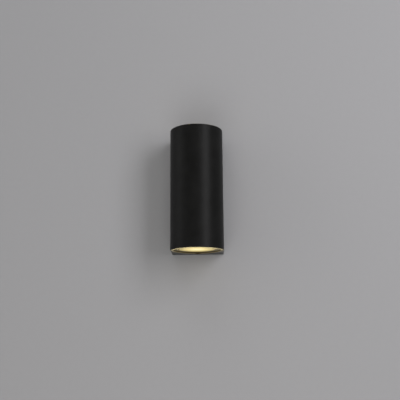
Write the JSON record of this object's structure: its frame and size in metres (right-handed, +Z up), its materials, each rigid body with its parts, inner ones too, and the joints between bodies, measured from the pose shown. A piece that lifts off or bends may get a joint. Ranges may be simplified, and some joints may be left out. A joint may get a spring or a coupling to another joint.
{
  "type": "wall sconce",
  "caption": "Upright up-and-down wall light: a matte black housing, round in front and flat to the wall, with a lit lens in a screwed ring at each end.",
  "frame": {"origin": "middle of the wall bracket's back face, on the wall plane", "axes": "+X to the right as seen from the room, +Y into the wall, +Z up along the housing"},
  "size_m": [0.065, 0.0735, 0.15],
  "materials": {
    "black_powder_coat": "matte",
    "black_anodised": "satin",
    "black_foam": "matte",
    "black_rubber": "matte",
    "zinc_plated_steel": "satin",
    "black_screw": "satin",
    "screw_steel": "satin",
    "terminal_plastic": "matte",
    "brass": "satin",
    "clear_silicone": "satin",
    "lamp_white": "satin",
    "led_board": "matte",
    "pin_metal": "satin",
    "steatite": "matte",
    "brown_lead": "satin",
    "blue_lead": "satin",
    "lit_lens": "satin",
    "lamp_front": "satin",
    "led_chip": "satin"
  },
  "bodies": {
    "wall_mount": {"wall_bracket": "zinc_plated_steel", "cable_grommet": "black_rubber", "earth_washer": "screw_steel", "earth_screw": "brass"},
    "body": {"housing": "black_powder_coat", "wall_seal": "black_foam", "fixing_screws": "black_screw", "holder_bridge": "zinc_plated_steel", "bridge_screws": "screw_steel", "terminal_block": "terminal_plastic", "terminal_tubes": "brass", "terminal_screws": "screw_steel", "terminal_fixings": "screw_steel", "upper_lampholder": "steatite", "upper_holder_screws": "screw_steel", "upper_contacts": "brass", "upper_live_lead": "brown_lead", "upper_neutral_lead": "blue_lead", "lower_lampholder": "steatite", "lower_holder_screws": "screw_steel", "lower_contacts": "brass", "lower_live_lead": "brown_lead", "lower_neutral_lead": "blue_lead"},
    "upper_lamp": {"upper_lamp_shell": "lamp_white", "upper_lamp_front": "lamp_front", "upper_led_board": "led_board", "upper_leds": "led_chip", "upper_lamp_base": "lamp_white", "upper_lamp_pins": "pin_metal"},
    "upper_lens": {"upper_lens": "lit_lens", "upper_lens_seal": "clear_silicone"},
    "upper_ring": {"upper_ring": "black_anodised"},
    "lower_lamp": {"lower_lamp_shell": "lamp_white", "lower_lamp_front": "lamp_front", "lower_led_board": "led_board", "lower_leds": "led_chip", "lower_lamp_base": "lamp_white", "lower_lamp_pins": "pin_metal"},
    "lower_lens": {"lower_lens": "lit_lens", "lower_lens_seal": "clear_silicone"},
    "lower_ring": {"lower_ring": "black_anodised"}
  },
  "joints": [
    {"name": "housing_pull", "type": "slide", "parent": "wall_mount", "child": "body", "axis": [0, -1, 0], "range_m": [0, 0.03]},
    {"name": "upper_lens_travel", "type": "slide", "parent": "body", "child": "upper_lens", "axis": [0, 0, 1], "range_m": [0, 0.005]},
    {"name": "upper_ring_turn", "type": "hinge", "parent": "upper_lens", "child": "upper_ring", "pos_m": [0, -0.041, 0.0718], "axis": [0, 0, 1], "range_deg": [0, 900]},
    {"name": "upper_lamp_twist", "type": "hinge", "parent": "body", "child": "upper_lamp", "pos_m": [0, -0.041, 0.04], "axis": [0, 0, 1], "range_deg": [0, 35]},
    {"name": "lower_lens_travel", "type": "slide", "parent": "body", "child": "lower_lens", "axis": [0, 0, -1], "range_m": [0, 0.005]},
    {"name": "lower_ring_turn", "type": "hinge", "parent": "lower_lens", "child": "lower_ring", "pos_m": [0, -0.041, -0.0718], "axis": [0, 0, -1], "range_deg": [0, 900]},
    {"name": "lower_lamp_twist", "type": "hinge", "parent": "body", "child": "lower_lamp", "pos_m": [0, -0.041, -0.04], "axis": [0, 0, -1], "range_deg": [0, 35]}
  ],
  "couplings": [
    {"joint": "upper_ring_turn", "follows": "upper_lens_travel", "rad_per_m": 3141.5},
    {"joint": "lower_ring_turn", "follows": "lower_lens_travel", "rad_per_m": 3141.5}
  ]
}
